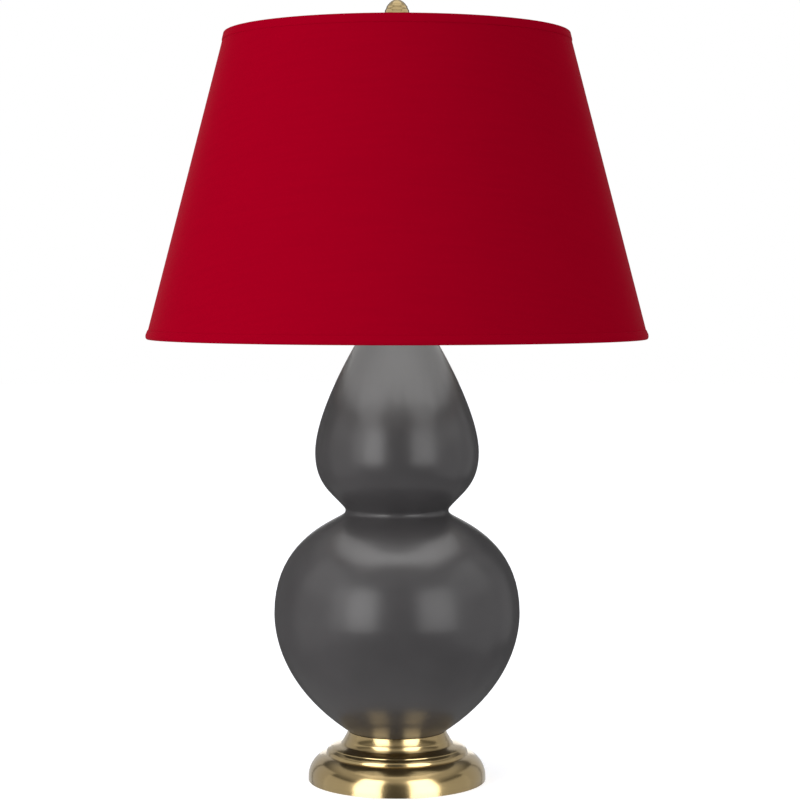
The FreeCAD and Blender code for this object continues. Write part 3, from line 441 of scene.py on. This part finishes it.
# Satin matt glaze over ceramic: dark warm grey, an even skin with a slight
# orange-peel ripple, and broad soft highlights.
glaze = bpy.data.materials.new("satin_glazed_ceramic")
tree = blank(glaze)
place = add(tree, "TexCoord").outputs["Object"]
pooling = add(tree, "TexNoise", {"Vector": place, "Scale": 1000 / 60, "Detail": 3.0})
shade = add(tree, "ValToRGB", {"Fac": pooling.outputs["Fac"]})
shade.color_ramp.elements[0].position = 0.3
shade.color_ramp.elements[0].color = tint("#434141")
shade.color_ramp.elements[1].position = 0.7
shade.color_ramp.elements[1].color = tint("#494747")
peel = add(tree, "TexNoise", {"Vector": place, "Scale": 1000 / 3.5, "Detail": 1.0})
ripple = add(tree, "Bump", {"Height": peel.outputs["Fac"], "Distance": 0.00004, "Strength": 0.25})
fired = surface(tree, Roughness=0.28, IOR=1.5)
tree.links.new(shade.outputs[0], fired.inputs["Base Color"])
tree.links.new(ripple.outputs[0], fired.inputs["Normal"])

gourd = draw_section("gourd", [
    (8.0, 46.0), (42.2, 46.0), (45.5, 48.1, 33, 0, 82.6),
    (124.35, 170.9, 90, 25.1, 75.7), (53.6, 271.5, 135, 10.7, 2.4),
    (53.3, 277.7, 50.2, 2.4, 19.5), (82.8, 333.5, 90, 32.5, 36.7),
    (31.6, 459.9, 122.4, 35.6, 7.6), (25.4, 481.3, 90, 7.6, 0), (25.4, 484.0)], closed=False)
spin_round(gourd, 160)
wall = gourd.modifiers.new("wall", "SOLIDIFY")
wall.thickness = 0.006
wall.offset = -1
wall.use_even_offset = True
bpy.ops.object.modifier_apply(modifier="wall")
gourd.data.materials.append(glaze)
polished.objects.link(gourd)
body.objects.link(gourd)
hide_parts("gourd_body")
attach(gourd, "root")

# ---------------------------------------------------------------- cap, tube and harp
# A brass cap covers the gourd's neck; a tube, a ring and the harp's saddle are
# stacked on it and held down by a nut, and the harp's wire stands in the saddle.
dress(brass, "vase_cap", "neck_spacer", "check_ring")

# Brass-plated steel wire: warmer and smoother than the spun parts, drawn along
# its length, with small dull spots in the plating.
plated = bpy.data.materials.new("brass_plated_steel")
tree = blank(plated)
place = add(tree, "TexCoord").outputs["Object"]
spots = add(tree, "TexNoise", {"Vector": place, "Scale": 1000 / 5, "Detail": 5.0})
shade = add(tree, "ValToRGB", {"Fac": spots.outputs["Fac"]})
shade.color_ramp.elements[0].color = tint("#b39961")
shade.color_ramp.elements[1].color = tint("#c5ac74")
dull = add(tree, "MapRange", {"Value": spots.outputs["Fac"], "To Min": 0.22, "To Max": 0.32})
wire = surface(tree, Metallic=1.0)
tree.links.new(shade.outputs[0], wire.inputs["Base Color"])
tree.links.new(dull.outputs[0], wire.inputs["Roughness"])
dress(plated, "harp_saddle", "harp", "harp_sleeve_left", "harp_sleeve_right", "harp_stud")

# ---------------------------------------------------------------- socket
# A pressed brass cap and shell around a fibre liner and a phenolic body, which
# carries the terminal screws, the screw shell and the centre contact.
dress(brass, "socket_cap", "socket_shell")

# Vulcanised fibre: pressed from paper, brown and faintly mottled.
fibreboard = bpy.data.materials.new("vulcanised_fibre")
tree = blank(fibreboard)
place = add(tree, "TexCoord").outputs["Object"]
pulp = add(tree, "TexNoise", {"Vector": place, "Scale": 1000 / 1.5, "Detail": 5.0})
shade = add(tree, "ValToRGB", {"Fac": pulp.outputs["Fac"]})
shade.color_ramp.elements[0].color = tint("#4b3826")
shade.color_ramp.elements[1].color = tint("#6d5540")
pressed = surface(tree, Roughness=0.8)
tree.links.new(shade.outputs[0], pressed.inputs["Base Color"])
dress(fibreboard, "socket_liner")

# Moulded phenolic: near black, dense, with a dull gloss.
phenolic = bpy.data.materials.new("moulded_phenolic")
tree = blank(phenolic)
place = add(tree, "TexCoord").outputs["Object"]
filler = add(tree, "TexNoise", {"Vector": place, "Scale": 1000 / 0.8, "Detail": 3.0})
shade = add(tree, "ValToRGB", {"Fac": filler.outputs["Fac"]})
shade.color_ramp.elements[0].color = tint("#100d0b")
shade.color_ramp.elements[1].color = tint("#1f1814")
dense = surface(tree, Roughness=0.35, IOR=1.6)
tree.links.new(shade.outputs[0], dense.inputs["Base Color"])
dress(phenolic, "socket_interior")

# Drawn brass for whatever carries current: bright, yellow, and faintly tarnished.
bright = bpy.data.materials.new("drawn_contact_brass")
tree = blank(bright)
place = add(tree, "TexCoord").outputs["Object"]
tarnish = add(tree, "TexNoise", {"Vector": place, "Scale": 1000 / 4, "Detail": 3.0})
shade = add(tree, "ValToRGB", {"Fac": tarnish.outputs["Fac"]})
shade.color_ramp.elements[0].color = tint("#bd9650")
shade.color_ramp.elements[1].color = tint("#dcbb76")
drawn = surface(tree, Metallic=1.0, Roughness=0.25)
tree.links.new(shade.outputs[0], drawn.inputs["Base Color"])
dress(bright, "terminal_screws", "screw_shell", "centre_contact")

# ---------------------------------------------------------------- bulb
# A frosted glass bulb cemented into a spun aluminium screw cap, with a black
# glass insulator and a soldered contact at its tip.

# Frosted glass: etched inside, so it looks like a soft white skin with a
# clear gloss over it.
frosted = bpy.data.materials.new("frosted_soda_glass")
tree = blank(frosted)
place = add(tree, "TexCoord").outputs["Object"]
etch = add(tree, "TexNoise", {"Vector": place, "Scale": 1000 / 12, "Detail": 4.0})
shade = add(tree, "ValToRGB", {"Fac": etch.outputs["Fac"]})
shade.color_ramp.elements[0].color = tint("#e9e7e2")
shade.color_ramp.elements[1].color = tint("#f6f4ef")
glass = surface(tree, Roughness=0.22, Subsurface_Weight=0.3, Subsurface_Scale=0.01,
                Subsurface_Radius=(1, 1, 1))
tree.links.new(shade.outputs[0], glass.inputs["Base Color"])
dress(frosted, "bulb_glass")

# Rolled aluminium: pale and cool, softly scuffed along the thread of the cap.
aluminium = bpy.data.materials.new("rolled_aluminium")
tree = blank(aluminium)
place = add(tree, "TexCoord").outputs["Object"]
scuff = add(tree, "TexNoise", {"Vector": place, "Scale": 1000 / 3, "Detail": 4.0})
shade = add(tree, "ValToRGB", {"Fac": scuff.outputs["Fac"]})
shade.color_ramp.elements[0].color = tint("#bfc1c2")
shade.color_ramp.elements[1].color = tint("#d8d9da")
rolled = surface(tree, Metallic=1.0, Roughness=0.3)
tree.links.new(shade.outputs[0], rolled.inputs["Base Color"])
dress(aluminium, "bulb_cap")

# Poured black glass: near black, with faint swirls under a hard gloss.
vitrite = bpy.data.materials.new("black_vitrite_glass")
tree = blank(vitrite)
place = add(tree, "TexCoord").outputs["Object"]
swirl = add(tree, "TexNoise", {"Vector": place, "Scale": 1000 / 5, "Detail": 2.0})
shade = add(tree, "ValToRGB", {"Fac": swirl.outputs["Fac"]})
shade.color_ramp.elements[0].color = tint("#0e0c0b")
shade.color_ramp.elements[1].color = tint("#1c1814")
poured = surface(tree, Roughness=0.12, IOR=1.55)
tree.links.new(shade.outputs[0], poured.inputs["Base Color"])
dress(vitrite, "bulb_insulator")

# Tin solder: a dull grey drop with a crystalline grain.
solder = bpy.data.materials.new("tin_solder")
tree = blank(solder)
place = add(tree, "TexCoord").outputs["Object"]
crystals = add(tree, "TexNoise", {"Vector": place, "Scale": 1000 / 1.0, "Detail": 4.0})
shade = add(tree, "ValToRGB", {"Fac": crystals.outputs["Fac"]})
shade.color_ramp.elements[0].color = tint("#a9a9a6")
shade.color_ramp.elements[1].color = tint("#c9c9c5")
cooled = surface(tree, Metallic=1.0, Roughness=0.45)
tree.links.new(shade.outputs[0], cooled.inputs["Base Color"])
dress(solder, "bulb_contact")

# ---------------------------------------------------------------- shade frame
# A brass-plated wire ring at each edge, and a spider of three wire arms that
# run from the upper ring to a pressed hub on the harp's stud.
dress(plated, "spider_hub", "spider_arms", "top_ring", "bottom_ring")

# ---------------------------------------------------------------- shade lining
# A sheet of white styrene, rolled into a cone. The cloth is laminated to it, and
# the hems hold both to the wire rings.

# Matt styrene: off-white, with a soft skin.
styrene = bpy.data.materials.new("matt_styrene_sheet")
tree = blank(styrene)
place = add(tree, "TexCoord").outputs["Object"]
sheet = add(tree, "TexNoise", {"Vector": place, "Scale": 1000 / 40, "Detail": 3.0})
shade = add(tree, "ValToRGB", {"Fac": sheet.outputs["Fac"]})
shade.color_ramp.elements[0].color = tint("#efece4")
shade.color_ramp.elements[1].color = tint("#f7f5ef")
cast = surface(tree, Roughness=0.55, IOR=1.59)
tree.links.new(shade.outputs[0], cast.inputs["Base Color"])
dress(styrene, "shade_lining")

# ---------------------------------------------------------------- shade cloth
# Deep red plain-woven cotton, cut as part of a flat ring, laminated round the
# lining and lapped at the back by 12 mm.
edge_radius, edge_height, slant_heading = 252.6, 448.7, 104.61
lean = math.radians(slant_heading)


def on_wall(along, depth):
    """Radius and height in mm, so far up the slant from the lower edge and so deep inside."""
    return (edge_radius + math.cos(lean) * along - math.sin(lean) * depth,
            edge_height + math.sin(lean) * along + math.cos(lean) * depth)


# Plain-woven cotton: matt and deep, with threads 0.9 mm apart that only show
# close to, uneven slubs that run along the warp, and a little sheen at the sides.
cotton = bpy.data.materials.new("plain_woven_cotton")
tree = blank(cotton)
cloth_map = add(tree, "UVMap", uv_map="cut").outputs[0]
thread_spacing, slub_length = 0.0009, 14
yarn = {"Vector": cloth_map, "Scale": 2 * math.pi / 20 / thread_spacing, "Distortion": 1.0,
        "Detail": 1.0}
warp = add(tree, "TexWave", yarn, bands_direction="X")
weft = add(tree, "TexWave", yarn, bands_direction="Y")
weave = add(tree, "Math", {0: warp.outputs["Fac"], 1: weft.outputs["Fac"]}, operation="MAXIMUM")
stretched = add(tree, "Mapping", {"Vector": cloth_map, "Scale": (1, slub_length, 1)})
slub = add(tree, "TexNoise", {"Vector": stretched.outputs[0], "Scale": 1000 / 60, "Detail": 4.0})
uneven = add(tree, "Mix", {"Factor": 0.5, 2: slub.outputs["Fac"], 3: weave.outputs[0]},
             data_type="FLOAT")
shade = add(tree, "ValToRGB", {"Fac": uneven.outputs[0]})
shade.color_ramp.elements[0].position = 0.25
shade.color_ramp.elements[0].color = tint("#92001a")
shade.color_ramp.elements[1].position = 0.75
shade.color_ramp.elements[1].color = tint("#9b001b")
threads = add(tree, "Bump", {"Height": weave.outputs[0], "Distance": 0.00006, "Strength": 0.3})
woven = surface(tree, Roughness=0.95, Sheen_Weight=0.06, Sheen_Roughness=0.25)
woven.inputs["Specular IOR Level"].default_value = 0.0
tree.links.new(shade.outputs[0], woven.inputs["Base Color"])
tree.links.new(threads.outputs[0], woven.inputs["Normal"])


def map_cut(piece):
    """Lay the cone's skin out flat, as the cloth was cut, so that its threads run straight."""
    layer = piece.data.uv_layers.get("cut") or piece.data.uv_layers.new(name="cut")
    opening = math.cos(math.pi - lean)
    for face in piece.data.polygons:
        middle = math.atan2(face.center.x, -face.center.y)
        for index in face.loop_indices:
            corner = piece.data.vertices[piece.data.loops[index].vertex_index].co
            turn = math.atan2(corner.x, -corner.y)
            if turn - middle > math.pi:
                turn -= 2 * math.pi
            if middle - turn > math.pi:
                turn += 2 * math.pi
            reach = math.hypot(corner.x, corner.y) / opening
            layer.data[index].uv = (reach * math.sin(turn * opening),
                                    -reach * math.cos(turn * opening))


lap, lap_rise, cloth_thickness = 0.012, 0.0005, 0.0006
low_radius, low_edge = on_wall(0.8, 0.8)
high_radius, high_edge = on_wall(314.3, 0.8)
bpy.ops.mesh.primitive_cone_add(vertices=256, radius1=low_radius / 1000, radius2=high_radius / 1000,
                                depth=(high_edge - low_edge) / 1000, end_fill_type="NOTHING",
                                location=(0, 0, (high_edge + low_edge) / 2000))
cloth = bpy.context.object
cloth.name = cloth.data.name = "shade_cloth"
bpy.ops.object.transform_apply(location=True, rotation=True, scale=True)
bpy.ops.object.mode_set(mode="EDIT")
bpy.ops.mesh.select_all(action="SELECT")
bpy.ops.mesh.normals_make_consistent(inside=False)
bpy.ops.mesh.select_all(action="DESELECT")
bpy.ops.object.mode_set(mode="OBJECT")

# The lap: a strip at the back is raised by the second layer under it.
for face in cloth.data.polygons:
    face.select = face.center.y > 0 and -0.002 < face.center.x < lap
for edge in cloth.data.edges:
    edge.select = False
bpy.ops.object.mode_set(mode="EDIT")
bpy.ops.mesh.select_mode(type="FACE")
bpy.ops.mesh.extrude_region_shrink_fatten(TRANSFORM_OT_shrink_fatten={"value": lap_rise})
bpy.ops.object.mode_set(mode="OBJECT")
map_cut(cloth)
skin = cloth.modifiers.new("thickness", "SOLIDIFY")
skin.thickness = cloth_thickness
skin.offset = -1
bpy.ops.object.modifier_apply(modifier="thickness")
bpy.ops.object.shade_smooth_by_angle(angle=math.radians(30))
cloth.data.materials.clear()
cloth.data.materials.append(cotton)
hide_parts("shade_fabric")
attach(cloth, "shade")

# ---------------------------------------------------------------- hems
# Strips of the same cotton, 9 mm deep outside, are glued over each edge of the
# shade and turned in over the wire rings. The lower one rolls round its ring.
hem_depth, back_depth = 9.0, 2.8
pocket_end, pocket_front, pocket_back = 0.85, 0.75, 2.05


def fold_hem(name, edge, way, proud, roll, belly):
    """A hem folded over the edge at that many mm up the slant, with the shade's wall in
    its pocket. It stands proud of the cloth where its roll down to the belly starts."""
    up = slant_heading if way > 0 else slant_heading + 180

    def spot(along, depth, *flow):
        return on_wall(edge + way * along, depth) + flow

    hem = draw_section(name, [
        spot(hem_depth, 0.6), spot(hem_depth - 1.2, 0.1, up + 180, 0.5, 1.8),
        spot(roll, -proud, up + 180, 1.8, 0.55 * roll),
        spot(0, belly, up + 90 * way, 0.55 * (belly + proud), 0.3),
        spot(1.4, back_depth, up, 0.78, 2.4), spot(hem_depth, back_depth - 0.1),
        spot(hem_depth, pocket_back), spot(pocket_end, pocket_back),
        spot(pocket_end, pocket_front), spot(hem_depth, pocket_front)])
    return spin_round(hem, 256)


lower_hem = fold_hem("lower_hem", 0.0, 1, 0.35, 4.2, 2.2)
upper_hem = fold_hem("upper_hem", 315.09, -1, 0.0, 1.4, 1.4)
for hem, node in ((lower_hem, "bottom_trim"), (upper_hem, "top_trim")):
    map_cut(hem)
    hem.data.materials.clear()
    hem.data.materials.append(cotton)
    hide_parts(node)
    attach(hem, "shade")

# ---------------------------------------------------------------- finial
# A solid brass beehive, turned with six beads on a waisted foot, screws onto
# the harp's stud and holds the shade down.
crown, middle, half, widest = 787.4, 766.4, 21.0, 13.2
grooves = [781.8 - 4.0 * tier for tier in range(6)]
hive = [(widest * math.sqrt(1 - ((z - middle) / half) ** 2), z) for z in grooves[::-1]]
bore_and_waist = [
    (0.0, 759.0), (3.26, 756.8), (3.26, 743.8), (8.0, 743.8), (8.6, 744.6, 90, 0.4, 0.4),
    (8.6, 745.8, 90, 0.3, 1.2), (5.6, 753.6, 90, 4.5, 2.4),
    (hive[0][0] - 0.4, 761.3, 40, 3.4, 0)]
beads = []
for (r0, z0), (r1, z1) in zip(hive, hive[1:]):
    belly = ((r0 + r1) / 2 + 0.4, (z0 + z1) / 2, 90 + 3 * (z0 - middle) / 4, 1.2, 1.2)
    beads += [(r0, z0 + 0.25), belly, (r1, z1 - 0.1)]
dome = [(hive[-1][0], grooves[0] + 0.25), (0.0, crown, 180, 5.2, 0)]
finial = draw_section("beehive_finial", bore_and_waist + beads + dome, closed=False)
spin_round(finial, 96)
finial.data.materials.clear()
finial.data.materials.append(brass)
tip.objects.link(finial)
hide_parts("finial")
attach(finial, "finial")
